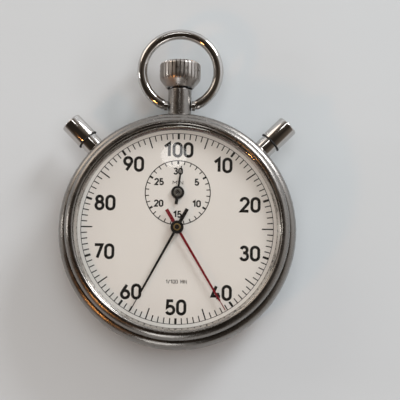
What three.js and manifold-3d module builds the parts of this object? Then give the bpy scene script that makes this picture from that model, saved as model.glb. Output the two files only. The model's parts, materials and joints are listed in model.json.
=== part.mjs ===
// A pocket split-seconds stopwatch: 100 divisions to the minute, a 30-minute counter, a winding crown
// that also starts and stops, and two side pushers for the split hand and the reset.
// Millimetres, +Z up. The origin is on the flat case back, on the axis of the centre hands;
// +Y points to 12 o'clock and the dial faces +Z.
import * as THREE from 'three';
import { mergeVertices } from 'three/addons/utils/BufferGeometryUtils.js';
import Module from 'manifold-3d';

const wasm = await Module();
wasm.setup();

const { PI, cos, sin, hypot, atan2, sqrt } = Math;
const TURN = 2 * PI;
const DEGREE = PI / 180;

// ---- driving dimensions ----
const CASE_RADIUS = 27.5;
const CRYSTAL_TOP = 18;
const STEM_HEIGHT = 7.4; // the axis of the crown, the bow and the pushers above the case back
const BAND_TOP = 12.4; // the shoulder that the bezel is pressed down on
const BEZEL_RADIUS = 25.75;
const BEZEL_SEAM = 0.05; // between the shoulder and the bezel
const WINDOW_RADIUS = 23.7; // the opening of the bezel
const DIAL_RADIUS = 23.6;
const DIAL_BOTTOM = 12.9;
const DIAL_TOP = 13.3;
const MOVEMENT_RADIUS = 22.6;
const ROUND = 32; // sides of the large round parts

const CROWN = { radius: 4.84, bottom: 34.0, top: 40.35, flutes: 32 };
const PENDANT = { radius: 2.72, bore: 1.95, foot: 24.5, top: 33.7 };
const BOW = { centre: 38.15, radius: 8.98, wire: 1.2, endX: 3.35, pivot: 29.82 };
const PUSHER = {
  radius: 2.55, bore: 2.38, bottom: 30.1, top: 36.15, sleeve: 2.3, seal: 2.65, stem: 0.75,
  bearing: 45 * DEGREE,
};
const PUSHER_STEM_END = 22.1; // just short of the lever that it moves
const SEAL_THICKNESS = 0.3;
const COUNTER_Y = 8.16; // the 30-minute counter's axis above the centre
const SWEEP_HAND_LENGTH = 21.8;
const SWEEP_READING = 57.8 / 100; // minutes shown by the sweep hand
const SPLIT_READING = 41.4 / 100;
const COUNTER_MINUTES = 30;

// ---- heights of the movement, from the back to the dial ----
const BRIDGE = { bottom: 3.4, top: 4.6 };
const BARREL_BRIDGE = { bottom: 5.5, top: 6.1 };
const PLATE = { bottom: 8.6, top: 10.2 };
const LEVEL = {
  winding: { bottom: 3.95, top: 4.6 },
  second: { bottom: 4.85, top: 5.2 },
  balance: { bottom: 5.3, top: 6.2 },
  fourth: { bottom: 5.8, top: 6.2 },
  third: { bottom: 6.7, top: 7.1 },
  escape: { bottom: 7.6, top: 8.1 },
  intermediate: { bottom: 10.45, top: 10.85 },
  minute: { bottom: 11.1, top: 11.5 },
  heart: { bottom: 11.75, top: 12.1 },
  split: { bottom: 12.3, top: 12.6 },
};

// ---- wheel train: tooth counts, modules and arbor places, seen from the dial side ----
const TRAIN = {
  barrel: { teeth: 72, module: 7.5 / 36 },
  secondPinion: { teeth: 12 },
  second: { teeth: 64, module: 0.17 },
  third: { teeth: 60, module: 0.17 },
  fourth: { teeth: 80, module: 0.12 },
  pinion: { teeth: 8 },
  counterDrive: { teeth: 8, module: 0.22 },
  intermediate: { teeth: 40, module: 0.22 },
  minute: { teeth: 48, module: 0.2 },
  crownWheel: { teeth: 28, module: 0.35 },
  ratchet: { teeth: 36, module: 0.35 },
  windingPinion: { teeth: 14 },
};

const polar = ([x, y], radius, angle) => [x + radius * cos(angle), y + radius * sin(angle)];
const bearing = ([ax, ay], [bx, by]) => atan2(by - ay, bx - ax);
const meshDistance = (module, wheelTeeth, pinionTeeth) => (module * (wheelTeeth + pinionTeeth)) / 2;

// The point at distance ra from a and rb from b, to the left of the line from a to b or to its right.
function meetingPoint(a, ra, b, rb, side) {
  const apart = hypot(b[0] - a[0], b[1] - a[1]);
  const along = (ra * ra - rb * rb + apart * apart) / (2 * apart);
  const across = side * sqrt(ra * ra - along * along);
  return polar(polar(a, along, bearing(a, b)), across, bearing(a, b) + PI / 2);
}

const CENTRE = [0, 0];
const COUNTER = [0, COUNTER_Y];
const CROWN_WHEEL = [0, 13.4];
const BARREL = polar(
  CROWN_WHEEL,
  meshDistance(TRAIN.ratchet.module, TRAIN.ratchet.teeth, TRAIN.crownWheel.teeth),
  211 * DEGREE,
);
const THIRD = polar(
  CENTRE,
  meshDistance(TRAIN.third.module, TRAIN.third.teeth, TRAIN.pinion.teeth),
  228 * DEGREE,
);
const SECOND = meetingPoint(
  THIRD,
  meshDistance(TRAIN.second.module, TRAIN.second.teeth, TRAIN.pinion.teeth),
  BARREL,
  meshDistance(TRAIN.barrel.module, TRAIN.barrel.teeth, TRAIN.secondPinion.teeth),
  1,
);
const ESCAPE = polar(
  CENTRE,
  meshDistance(TRAIN.fourth.module, TRAIN.fourth.teeth, TRAIN.pinion.teeth),
  -40 * DEGREE,
);
const PALLET = polar(ESCAPE, 3.7, -62 * DEGREE);
const BALANCE = polar(PALLET, 4.8, -55 * DEGREE);
const BALANCE_RADIUS = 6.3;
const INTERMEDIATE = meetingPoint(
  CENTRE,
  meshDistance(TRAIN.intermediate.module, TRAIN.intermediate.teeth, TRAIN.counterDrive.teeth),
  COUNTER,
  meshDistance(TRAIN.minute.module, TRAIN.minute.teeth, TRAIN.pinion.teeth),
  -1,
);

// ---- materials ----
const metal = (color, roughness) => new THREE.MeshStandardMaterial({ color, roughness, metalness: 1 });
const paint = (color, roughness) => new THREE.MeshStandardMaterial({ color, roughness, metalness: 0 });
const CHROME = metal('#c9c7c4', 0.16);
const TURNED_STEEL = metal('#8f8c88', 0.32);
const STEEL = metal('#a8a8aa', 0.3);
const BLUED_STEEL = metal('#2c3c66', 0.3);
const BRASS = metal('#c9a45a', 0.35);
const NICKEL = metal('#b8b4ac', 0.35);
const BLACK_METAL = paint('#101010', 0.4);
const RED_METAL = paint('#7d0f18', 0.4);
const RUBBER = paint('#15151a', 0.7);
const ENAMEL = paint('#d8d1c6', 0.5);
const RUBY = paint('#a0203c', 0.1);
const CRYSTAL = new THREE.MeshStandardMaterial({
  color: '#f4f6f6',
  roughness: 0.05,
  metalness: 0,
  transparent: true,
  opacity: 0.25,
});

// ---- solids ----
const WELD = 1e-4;

function signedVolume(positions, index) {
  const corner = (i) => new THREE.Vector3().fromBufferAttribute(positions, i);
  let volume = 0;
  for (let i = 0; i < index.length; i += 3) {
    volume += corner(index[i]).dot(corner(index[i + 1]).cross(corner(index[i + 2]))) / 6;
  }
  return volume;
}

// One closed body with shared vertices, no collapsed triangles, and its faces pointing out.
function closed(geometry) {
  const bare = new THREE.BufferGeometry();
  bare.setAttribute('position', geometry.getAttribute('position'));
  bare.setIndex(geometry.getIndex());
  const merged = mergeVertices(bare, WELD);
  const corners = merged.getIndex().array;
  const kept = [];
  for (let i = 0; i < corners.length; i += 3) {
    const [a, b, c] = corners.slice(i, i + 3);
    if (a !== b && b !== c && c !== a) kept.push(a, b, c);
  }
  if (signedVolume(merged.getAttribute('position'), kept) < 0) kept.reverse();
  merged.setIndex(kept);
  return merged;
}

function toManifold(geometry) {
  const body = closed(geometry);
  return new wasm.Manifold(
    new wasm.Mesh({
      numProp: 3,
      vertProperties: new Float32Array(body.getAttribute('position').array),
      triVerts: new Uint32Array(body.getIndex().array),
    }),
  );
}

function fromManifold(solid) {
  const { vertProperties, triVerts } = solid.getMesh();
  const geometry = new THREE.BufferGeometry();
  geometry.setAttribute('position', new THREE.BufferAttribute(vertProperties, 3));
  geometry.setIndex([...triVerts]);
  return geometry;
}

const join = (...bodies) => fromManifold(bodies.map(toManifold).reduce((a, b) => a.add(b)));
const cut = (body, ...tools) =>
  fromManifold(tools.map(toManifold).reduce((a, b) => a.subtract(b), toManifold(body)));
const common = (a, b) => fromManifold(toManifold(a).intersect(toManifold(b)));

// A body turned about Z from a profile of [radius, height] pairs that closes on itself or on the axis.
function turned(profile, sides = ROUND) {
  const first = profile[0];
  const onAxis = first[0] === 0 && profile.at(-1)[0] === 0;
  const loop = onAxis ? profile : [...profile, first];
  const lathe = new THREE.LatheGeometry(loop.map(([r, z]) => new THREE.Vector2(r, z)), sides);
  return closed(lathe.rotateX(PI / 2));
}

const rod = (radius, bottom, top, sides = 16) =>
  turned([[0, bottom], [radius, bottom], [radius, top], [0, top]], sides);
const tube = (radius, bore, bottom, top, sides = 16) =>
  turned([[bore, bottom], [radius, bottom], [radius, top], [bore, top]], sides);
const at = ([x, y], geometry) => geometry.translate(x, y, 0);

// Lays a body made about +Z along +Y at stem height, then turns it about the watch's axis by an angle.
const radial = (geometry, angle = 0) =>
  geometry.rotateX(-PI / 2).translate(0, 0, STEM_HEIGHT).rotateZ(angle);

function block([x0, y0, z0], [x1, y1, z1]) {
  const box = new THREE.BoxGeometry(x1 - x0, y1 - y0, z1 - z0);
  return box.translate((x0 + x1) / 2, (y0 + y1) / 2, (z0 + z1) / 2);
}

const ring = (radius, sides, [x, y] = CENTRE) =>
  Array.from({ length: sides }, (_, i) => polar([x, y], radius, (i * TURN) / sides));

// A flat plate from an outline of [x, y] points with holes of the same kind.
function plate(outline, { bottom, top }, holes = []) {
  const shape = new THREE.Shape(outline.map(([x, y]) => new THREE.Vector2(x, y)));
  shape.holes = holes.map((hole) => new THREE.Path(hole.map(([x, y]) => new THREE.Vector2(x, y))));
  const extruded = new THREE.ExtrudeGeometry(shape, { depth: top - bottom, bevelEnabled: false });
  return closed(extruded.translate(0, 0, bottom));
}

// A flat arm that narrows from one point to another.
function arm(from, to, widthFrom, widthTo, level) {
  const across = bearing(from, to) + PI / 2;
  const corners = [
    polar(from, widthFrom / 2, across),
    polar(to, widthTo / 2, across),
    polar(to, -widthTo / 2, across),
    polar(from, -widthFrom / 2, across),
  ];
  return plate(corners, level);
}

// A wire of round section that follows a curve.
function wire(curve, radius, steps, sides = 8) {
  const section = new THREE.Shape(ring(radius, sides).map(([x, y]) => new THREE.Vector2(x, y)));
  return closed(new THREE.ExtrudeGeometry(section, { steps, bevelEnabled: false, extrudePath: curve }));
}

class PathCurve extends THREE.Curve {
  constructor(pointAt) {
    super();
    this.pointAt = pointAt;
  }

  getPoint(t, target = new THREE.Vector3()) {
    return target.set(...this.pointAt(t));
  }
}

// A flat spiral strip about a point, from its inner end to its outer end.
function spiral(centre, { from, to, turns, width, stepsPerTurn = 12 }, level) {
  const steps = turns * stepsPerTurn;
  const edge = (offset) =>
    Array.from({ length: steps + 1 }, (_, i) => {
      const radius = from + ((to - from) * i) / steps + offset;
      return polar(centre, radius, (i * TURN) / stepsPerTurn);
    });
  return plate([...edge(-width / 2), ...edge(width / 2).reverse()], level);
}

// A coil spring about Z.
function coil({ radius, wireRadius, bottom, top, turns }) {
  const stepsPerTurn = 8;
  const rise = top - bottom - 2 * wireRadius;
  const helix = new PathCurve((t) => [
    radius * cos(t * turns * TURN),
    radius * sin(t * turns * TURN),
    bottom + wireRadius + t * rise,
  ]);
  return wire(helix, wireRadius, turns * stepsPerTurn, 4);
}

// ---- teeth ----
// The shares say how much of a tooth's half pitch its root and its tip cover.
function toothOutline({ teeth, root, tip, phase = 0, rootShare = 1, tipShare = 0 }, centre = CENTRE) {
  const halfPitch = PI / teeth;
  const corners = [[root, -rootShare], [tip, -tipShare]];
  if (tipShare > 0) corners.push([tip, tipShare]);
  if (rootShare < 1) corners.push([root, rootShare]);
  const points = [];
  for (let i = 0; i < teeth; i += 1) {
    for (const [radius, share] of corners) {
      points.push(polar(centre, radius, phase + (2 * i + share) * halfPitch));
    }
  }
  return points;
}

// The phase that lets the second of two wheels mesh with the first, across the line between them.
const meshedPhase = (phase, teeth, otherTeeth, angle) =>
  angle + PI - ((phase - angle) * teeth) / otherTeeth + PI / otherTeeth;

const pitchRadius = ({ teeth, module }) => (teeth * module) / 2;
const WHEEL_TOOTH = { addendum: 0.9, dedendum: 1.25 };
const LEAF = { addendum: 0.6, dedendum: 1.3, rootShare: 0.5, tipShare: 0.25 };

const wheelTeeth = (gear, phase) => ({
  teeth: gear.teeth,
  root: pitchRadius(gear) - WHEEL_TOOTH.dedendum * gear.module,
  tip: pitchRadius(gear) + WHEEL_TOOTH.addendum * gear.module,
  phase,
});

const pinionTeeth = (gear, phase) => ({
  teeth: gear.teeth,
  root: pitchRadius(gear) - LEAF.dedendum * gear.module,
  tip: pitchRadius(gear) + LEAF.addendum * gear.module,
  phase,
  rootShare: LEAF.rootShare,
  tipShare: LEAF.tipShare,
});

// Four windows between the spokes of a wheel.
function windows(centre, { hub, rim, spoke }) {
  return [0, 1, 2, 3].map((quarter) => {
    const start = (quarter * TURN) / 4;
    const innerGap = spoke / hub;
    const outerGap = spoke / rim;
    return [
      polar(centre, hub, start + innerGap),
      polar(centre, rim, start + outerGap),
      polar(centre, rim, start + TURN / 8),
      polar(centre, rim, start + TURN / 4 - outerGap),
      polar(centre, hub, start + TURN / 4 - innerGap),
    ];
  });
}

function spokedWheel(centre, gear, phase, level) {
  const rim = pitchRadius(gear) - 3.2 * gear.module;
  const holes = windows(centre, { hub: rim * 0.35, rim, spoke: 0.3 });
  return plate(toothOutline(wheelTeeth(gear, phase), centre), level, holes);
}

const pinion = (centre, gear, phase, level) =>
  plate(toothOutline(pinionTeeth(gear, phase), centre), level);

// ---- the assembly ----
const watch = new THREE.Group();

function add(name, geometry, material) {
  const mesh = new THREE.Mesh(closed(geometry), material);
  mesh.name = name;
  watch.add(mesh);
}

const SIDES = [
  { name: 'left', angle: PUSHER.bearing },
  { name: 'right', angle: -PUSHER.bearing },
];

// ---- case ----
function caseBand() {
  const shell = turned([
    [24.2, 2.9], [26.5, 2.9], [27.3, 4.8], [CASE_RADIUS, 7.4],
    [27.4, 10.4], [26.9, 11.9], [26.0, BAND_TOP], [24.2, BAND_TOP],
  ]);
  const pendantHole = radial(rod(PENDANT.radius + 0.1, 20, 30, 24));
  const pusherHoles = SIDES.map(({ angle }) => radial(rod(PUSHER.sleeve + 0.1, 20, 30, 24), angle));
  return cut(shell, pendantHole, ...pusherHoles);
}

const backCover = () =>
  turned([
    [0, 0], [20.5, 0], [24.6, 0.8], [26.3, 2.6], [23.9, 2.6], [23.9, 3.8], [23.3, 3.8],
    [20.0, 1.0], [0, 1.0],
  ]);

function bezel() {
  const foot = BAND_TOP + BEZEL_SEAM;
  return turned([
    [24.5, foot], [25.65, foot], [BEZEL_RADIUS, 14.5], [25.35, 15.6], [24.6, 16.1], [24.0, 16.15],
    [WINDOW_RADIUS, 15.9], [WINDOW_RADIUS, 15.5], [24.5, 15.5],
  ]);
}

// The crystal is a dome of even thickness on a flat flange that the bezel holds down.
function crystal() {
  const dome = { outerEdge: 23.45, innerEdge: 22.9, drop: 2.3, thickness: 0.8, steps: 3 };
  const arc = (apex, edge) =>
    Array.from({ length: dome.steps + 1 }, (_, i) => {
      const share = i / dome.steps;
      return [edge * share, apex - dome.drop * share * share];
    });
  const flange = [[dome.outerEdge, 15.2], [24.2, 15.2], [24.2, 14.7], [dome.innerEdge, 14.7]];
  const inside = arc(CRYSTAL_TOP - dome.thickness, dome.innerEdge).reverse();
  return turned([...arc(CRYSTAL_TOP, dome.outerEdge), ...flange, ...inside]);
}

const rehaut = () => turned([[22.8, 13.4], [24.1, 13.4], [24.1, 14.4], [23.6, 14.4]]);

function movementRing() {
  const body = tube(23.9, 22.9, 4.2, 12.6, ROUND);
  const stemHole = radial(rod(2.1, 20, 26));
  const pusherHoles = SIDES.map(({ angle }) => radial(rod(1.4, 20, 26), angle));
  return cut(body, stemHole, ...pusherHoles);
}

// ---- crown, pendant and bow ----
function pendant() {
  const body = radial(tube(PENDANT.radius, PENDANT.bore, PENDANT.foot, PENDANT.top, 24));
  const pinHole = rod(0.9, -4, 4, 12).rotateY(PI / 2).translate(0, BOW.pivot, STEM_HEIGHT);
  return cut(body, pinHole);
}

// The bow is an open ring of round wire. Its ends turn in to the pendant, where short pins hold it.
function bow() {
  const startAngle = Math.asin(BOW.endX / BOW.radius);
  const arc = new PathCurve((t) => {
    const angle = -PI / 2 + startAngle + t * (TURN - 2 * startAngle);
    return [BOW.radius * cos(angle), BOW.centre + BOW.radius * sin(angle), STEM_HEIGHT];
  });
  const ends = [-1, 1].flatMap((side) => {
    const shoulder = rod(BOW.wire * 0.96, 2.85, BOW.endX + 0.3, 12);
    const pin = rod(0.55, 2.1, BOW.endX, 10);
    return [shoulder, pin].map((body) =>
      body.rotateY((side * PI) / 2).translate(0, BOW.pivot, STEM_HEIGHT));
  });
  return join(wire(arc, BOW.wire, 36, 8), ...ends);
}

function crown() {
  const { radius, bottom, top, flutes } = CROWN;
  const outline = toothOutline({ teeth: flutes, root: radius - 0.3, tip: radius });
  const fluted = plate(outline, { bottom: bottom - 1, top: top + 1 });
  const turning = turned([
    [0, bottom], [3.2, bottom], [4.6, bottom + 1.9], [radius + 0.2, bottom + 1.9],
    [radius + 0.2, top - 0.9], [3.6, top], [0, top],
  ], 32);
  const recess = rod(2.92, bottom - 1, bottom + 3.3, 24);
  const stemHole = rod(1.3, bottom, bottom + 5.3, 12);
  return radial(cut(common(fluted, turning), recess, stemHole));
}

// A round stem, squared where it drives the winding pinion.
function windingStem() {
  const round = rod(1.0, 20.8, CROWN.bottom + 4.9, 12);
  const square = block([-0.7, -0.7, 14.0], [0.7, 0.7, 21.0]);
  return radial(join(round, square));
}

const pushSleeve = () => radial(tube(1.65, 1.3, 24.6, CROWN.bottom + 2.7, 16));
const crownSpring = () =>
  radial(coil({
    radius: 2.3, wireRadius: 0.2, bottom: PENDANT.top + 0.1, top: PENDANT.top + 2.2, turns: 4,
  }));

// ---- pushers ----
function pusherCap(angle) {
  const { radius, bore, bottom, top, stem } = PUSHER;
  const rim = bottom + SEAL_THICKNESS;
  const ceiling = bottom + 2.4;
  const cap = turned([
    [0, ceiling], [bore, ceiling], [bore, rim], [radius, rim],
    [radius, top - 0.35], [radius - 0.35, top], [0, top],
  ], 24);
  return radial(join(cap, rod(stem, PUSHER_STEM_END, ceiling + 0.5, 12)), angle);
}

const pusherSeal = (angle) =>
  radial(tube(PUSHER.seal, PUSHER.bore, PUSHER.bottom, PUSHER.bottom + SEAL_THICKNESS, 24), angle);

// The sleeve is screwed into the case band; its step holds the pusher's spring.
function pusherSleeve(angle) {
  const foot = 24.3;
  const step = 25.9;
  const top = PUSHER.bottom + 0.5;
  const sleeve = turned([
    [1.6, step], [1.6, top], [PUSHER.sleeve, top], [PUSHER.sleeve, foot], [1.05, foot], [1.05, step],
  ], 24);
  return radial(sleeve, angle);
}

const pusherSpring = (angle) =>
  radial(coil({ radius: 1.3, wireRadius: 0.17, bottom: 26.1, top: 29.9, turns: 4 }), angle);

// ---- dial and hands ----
function dial() {
  const face = plate(ring(DIAL_RADIUS, ROUND), { bottom: DIAL_BOTTOM, top: DIAL_TOP }, [
    ring(1.25, 12),
    ring(0.75, 12, COUNTER),
  ]);
  const feet = [200, 340].map((angle) =>
    at(polar(CENTRE, 20.5, angle * DEGREE), rod(0.5, 10.4, 13.0, 8)),
  );
  return join(face, ...feet);
}

// A hand drawn towards +Y: a bar with a tail, a needle tip, and a round hub.
function handOutline({ length, bar, width, needle, tail, tailWidth }) {
  return [
    [-tailWidth / 2, -tail], [tailWidth / 2, -tail], [tailWidth / 2, -0.6], [width / 2, 0.6],
    [width * 0.36, bar], [needle / 2, bar], [needle / 2, length],
    [-needle / 2, length], [-needle / 2, bar], [-width * 0.36, bar], [-width / 2, 0.6],
    [-tailWidth / 2, -0.6],
  ];
}

// Clockwise from 12 o'clock.
const clockwise = (share) => -share * TURN;

function hand(centre, shape, level, hub, reading) {
  const blade = plate(handOutline(shape), level);
  const boss = rod(hub.radius, hub.bottom, hub.top, 20);
  const bore = rod(hub.bore, hub.bottom - 1, hub.top + 1, 12);
  return at(centre, cut(join(blade, boss), bore).rotateZ(clockwise(reading)));
}

const LONG_HAND = { length: SWEEP_HAND_LENGTH, width: 0.6, needle: 0.2, tail: 4.8, tailWidth: 0.8 };
const sweepHand = () =>
  hand(CENTRE, { ...LONG_HAND, bar: 16.8 }, { bottom: 14.65, top: 14.85 },
    { radius: 1.5, bottom: 14.6, top: 15.1, bore: 0.85 }, SWEEP_READING);
const splitHand = () =>
  hand(CENTRE, { ...LONG_HAND, bar: 19.3 }, { bottom: 14.15, top: 14.35 },
    { radius: 1.35, bottom: 14.05, top: 14.45, bore: 1.05 }, SPLIT_READING);
const minuteHand = () =>
  hand(COUNTER, { length: 6.2, bar: 4.2, width: 0.5, needle: 0.2, tail: 2.75, tailWidth: 0.7 },
    { bottom: 13.65, top: 13.82 }, { radius: 1.5, bottom: 13.6, top: 13.95, bore: 0.5 },
    SWEEP_READING / COUNTER_MINUTES);

// A heart cam, whose lowest point marks zero.
function heart(centre, largest, reading) {
  const outline = Array.from({ length: 24 }, (_, i) => {
    const share = Math.abs(i - 12) / 12;
    return polar(CENTRE, largest * (0.42 + 0.58 * (1 - share)), (i * TURN) / 24);
  });
  return at(centre, plate(outline, LEVEL.heart).rotateZ(clockwise(reading)));
}

function sweepArbor() {
  const arbor = turned([
    [0, 3.0], [0.3, 3.0], [0.3, 14.5], [0.55, 14.5], [0.55, 15.0],
    [0.8, 15.0], [0.8, 15.15], [0.5, 15.15], [0.35, 15.05], [0, 15.05],
  ], 12);
  return join(arbor, heart(CENTRE, 2.2, SWEEP_READING));
}

function splitWheel() {
  const tubeBody = tube(0.9, 0.5, LEVEL.split.bottom, 14.4, 12);
  const wheel = plate(toothOutline({ teeth: 36, root: 3.2, tip: 3.4 }), LEVEL.split, [ring(0.7, 12)]);
  return join(tubeBody, wheel);
}

const minuteArbor = () =>
  join(at(COUNTER, rod(0.35, 9.0, 14.05, 10)), heart(COUNTER, 2.0, SWEEP_READING / COUNTER_MINUTES));

// ---- plates and bridges ----
const hole = (centre, radius) => at(centre, rod(radius, 0, CRYSTAL_TOP, 8));

const SCREWS = {
  bridge: [-7.4, -16.6],
  barrelBridge: [-6.4, 18.2],
  cock: [17.3, -12.0],
};

function mainplate() {
  const body = plate(ring(MOVEMENT_RADIUS, ROUND), PLATE);
  const pinionSlot = block([-3.1, 17.3, 8], [3.1, 19.9, 11]);
  const tabSlots = SIDES.map(({ angle }) => block([-1.8, 19.2, 8], [1.8, 24, 11]).rotateZ(angle));
  const holes = [hole(CENTRE, 0.95), hole(COUNTER, 0.6), hole(INTERMEDIATE, 0.6)];
  const screwHoles = Object.values(SCREWS).map((centre) => hole(centre, 0.65));
  return cut(body, pinionSlot, ...tabSlots, ...holes, ...screwHoles);
}

const pillar = (centre, bottom) => at(centre, rod(1.1, bottom, PLATE.bottom - 0.1, 12));

function trainBridge() {
  const outline = [
    [-19.6, -3.9], [-16.4, 0.2], [-9.5, 0.4], [-2, 2.6], [2.4, 2.4], [6.2, -0.8], [6.4, -5.0],
    [0.5, -8.2], [-5.8, -19], [-12.6, -15.6],
  ];
  const body = join(
    plate(outline, BRIDGE),
    pillar([-18.0, -5.4], BRIDGE.bottom + 0.2),
    pillar(SCREWS.bridge, BRIDGE.bottom + 0.2),
  );
  const pivots = [hole(CENTRE, 0.95), hole(SECOND, 0.6), hole(THIRD, 0.6), hole(ESCAPE, 0.5)];
  return cut(body, ...pivots, hole(SCREWS.bridge, 0.65));
}

function barrelBridge() {
  const outline = [
    [-19.6, 6], [-17.6, 12], [-9, 19.0], [-4.4, 19.6], [-4.0, 16.2], [3.4, 16.2], [4.6, 12.6],
    [0.5, 10.2], [-4, 4.4], [-12, 4.4],
  ];
  const body = join(
    plate(outline, BARREL_BRIDGE),
    pillar([-18.4, 8.6], BARREL_BRIDGE.bottom + 0.2),
    pillar(SCREWS.barrelBridge, BARREL_BRIDGE.bottom + 0.2),
  );
  return cut(body, hole(BARREL, 1.6), hole(CROWN_WHEEL, 0.85), hole(SCREWS.barrelBridge, 0.65));
}

function balanceCock() {
  const outline = [
    ...ring(1.9, 10, BALANCE).slice(3, 8), [15.6, -14.6], [18.6, -13.2], [18.9, -10.4], [16.0, -9.6],
  ];
  const body = join(plate(outline, BRIDGE), pillar(SCREWS.cock, BRIDGE.bottom + 0.2));
  return cut(body, hole(BALANCE, 0.5), hole(SCREWS.cock, 0.65));
}

function palletCock() {
  const post = [12.6, -3.2];
  const [px, py] = PALLET;
  const outline = [[px - 0.9, py - 0.9], [px + 1.2, py - 1.0], [13.6, -4.2], [13.6, -2.2], [11.6, -2.2]];
  const body = join(plate(outline, { bottom: 6.6, top: 7.1 }), pillar(post, 6.8));
  return cut(body, hole(PALLET, 0.5));
}

// A cheese-head screw that points from the back towards the dial.
function screw(centre, bottom, top) {
  const head = { radius: 1.1, height: 0.45, slot: 0.2 };
  const body = turned([
    [0, bottom], [head.radius, bottom], [head.radius, bottom + head.height],
    [0.4, bottom + head.height], [0.4, top], [0, top],
  ], 12);
  const slot = block([-2, -0.12, bottom - 1], [2, 0.12, bottom + head.slot]);
  return at(centre, cut(body, slot));
}

function crownWheelScrew() {
  const body = turned([[0, 3.3], [1.6, 3.3], [1.6, 3.75], [0.55, 3.75], [0.55, 5.95], [0, 5.95]], 12);
  return at(CROWN_WHEEL, cut(body, block([-2, -0.12, 3], [2, 0.12, 3.5])));
}

// ---- winding ----
const CROWN_WHEEL_PHASE = PI / 2 + PI / TRAIN.crownWheel.teeth; // a gap faces the stem
const NARROW = { rootShare: 0.45, tipShare: 0.3 };

// The long narrow teeth mesh with the ratchet wheel at their sides and with the pinion from above.
function crownWheel() {
  const outline = toothOutline({
    teeth: TRAIN.crownWheel.teeth, root: 4.25, tip: 5.15, phase: CROWN_WHEEL_PHASE, ...NARROW,
  }, CROWN_WHEEL);
  return plate(outline, { bottom: LEVEL.winding.bottom, top: 5.2 }, [ring(0.85, 8, CROWN_WHEEL)]);
}

function windingPinion() {
  const gear = TRAIN.windingPinion;
  const outline = toothOutline({ teeth: gear.teeth, root: 1.95, tip: 2.75, phase: PI / 2, ...NARROW });
  const square = [[-0.95, -0.95], [0.95, -0.95], [0.95, 0.95], [-0.95, 0.95]];
  return radial(plate(outline, { bottom: 17.8, top: 19.4 }, [square]));
}

const RATCHET_PHASE = meshedPhase(
  CROWN_WHEEL_PHASE, TRAIN.crownWheel.teeth, TRAIN.ratchet.teeth, bearing(CROWN_WHEEL, BARREL),
);
const ratchetWheel = () =>
  plate(
    toothOutline(wheelTeeth(TRAIN.ratchet, RATCHET_PHASE), BARREL), LEVEL.winding,
    [ring(0.95, 8, BARREL)],
  );

const barrelArbor = () =>
  at(BARREL, turned([
    [0, 3.4], [1.5, 3.4], [1.5, 3.8], [0.8, 3.8], [0.8, 4.75], [1.3, 4.75],
    [1.3, 6.6], [1.6, 6.6], [1.6, 8.0], [0.6, 8.0], [0.6, 8.5], [0, 8.5],
  ], 12));

// A pawl whose nose rests just outside the ratchet teeth.
function click() {
  const pivot = polar(BARREL, 9.4, 168 * DEGREE);
  const nose = polar(BARREL, 6.75, 196 * DEGREE);
  const back = polar(BARREL, 7.7, 198 * DEGREE);
  const outline = [
    polar(pivot, 1.0, 0), polar(pivot, 1.0, 60 * DEGREE), polar(pivot, 1.0, 150 * DEGREE),
    polar(pivot, 1.0, 220 * DEGREE), back, nose,
  ];
  return plate(outline, LEVEL.winding);
}

// ---- going train ----
const phaseFrom = (wheel, wheelPhase, otherTeeth, from, to) =>
  meshedPhase(wheelPhase, wheel.teeth, otherTeeth, bearing(from, to));

const gearOf = (teeth, { module }) => ({ teeth, module });

function barrel() {
  const drum = at(BARREL, turned([
    [1.75, 6.4], [6.9, 6.4], [6.9, 8.3], [6.55, 8.3], [6.55, 6.7], [1.75, 6.7],
  ], 24));
  const toothed = plate(toothOutline(wheelTeeth(TRAIN.barrel, 0), BARREL), { bottom: 7.7, top: 8.2 }, [
    ring(6.7, 24, BARREL),
  ]);
  return join(drum, toothed);
}

const barrelLid = () => at(BARREL, tube(6.4, 0.9, 8.1, 8.3, 24));
const mainspring = () =>
  spiral(BARREL, { from: 2.3, to: 6.1, turns: 5, width: 0.2 }, { bottom: 6.85, top: 7.85 });

function arborWheel(centre, wheel, wheelPhase, wheelLevel, leaf, leafPhase, leafLevel, arbor) {
  return join(
    spokedWheel(centre, wheel, wheelPhase, wheelLevel),
    pinion(centre, leaf, leafPhase, leafLevel),
    at(centre, rod(0.3, arbor.bottom, arbor.top, 8)),
  );
}

const secondWheel = () =>
  arborWheel(
    SECOND, TRAIN.second, 0, LEVEL.second,
    gearOf(TRAIN.secondPinion.teeth, TRAIN.barrel),
    phaseFrom(TRAIN.barrel, 0, TRAIN.secondPinion.teeth, BARREL, SECOND),
    { bottom: 7.5, top: 8.4 }, { bottom: 4.0, top: 8.45 },
  );

const thirdWheel = () =>
  arborWheel(
    THIRD, TRAIN.third, 0, LEVEL.third,
    gearOf(TRAIN.pinion.teeth, TRAIN.second),
    phaseFrom(TRAIN.second, 0, TRAIN.pinion.teeth, SECOND, THIRD),
    { bottom: 4.75, top: 5.5 }, { bottom: 4.0, top: 8.45 },
  );

// The fourth wheel turns once a minute on a hollow arbor that also drives the counter train.
function fourthWheel() {
  const drive = TRAIN.counterDrive;
  const body = join(
    spokedWheel(CENTRE, TRAIN.fourth, 0, LEVEL.fourth),
    pinion(CENTRE, gearOf(TRAIN.pinion.teeth, TRAIN.third),
      phaseFrom(TRAIN.third, 0, TRAIN.pinion.teeth, THIRD, CENTRE), { bottom: 6.5, top: 7.3 }),
    pinion(CENTRE, drive, 0, { bottom: 10.4, top: 10.95 }),
    rod(0.58, 3.7, 10.95, 12),
  );
  return cut(body, rod(0.44, 3, 12, 12));
}

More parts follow.
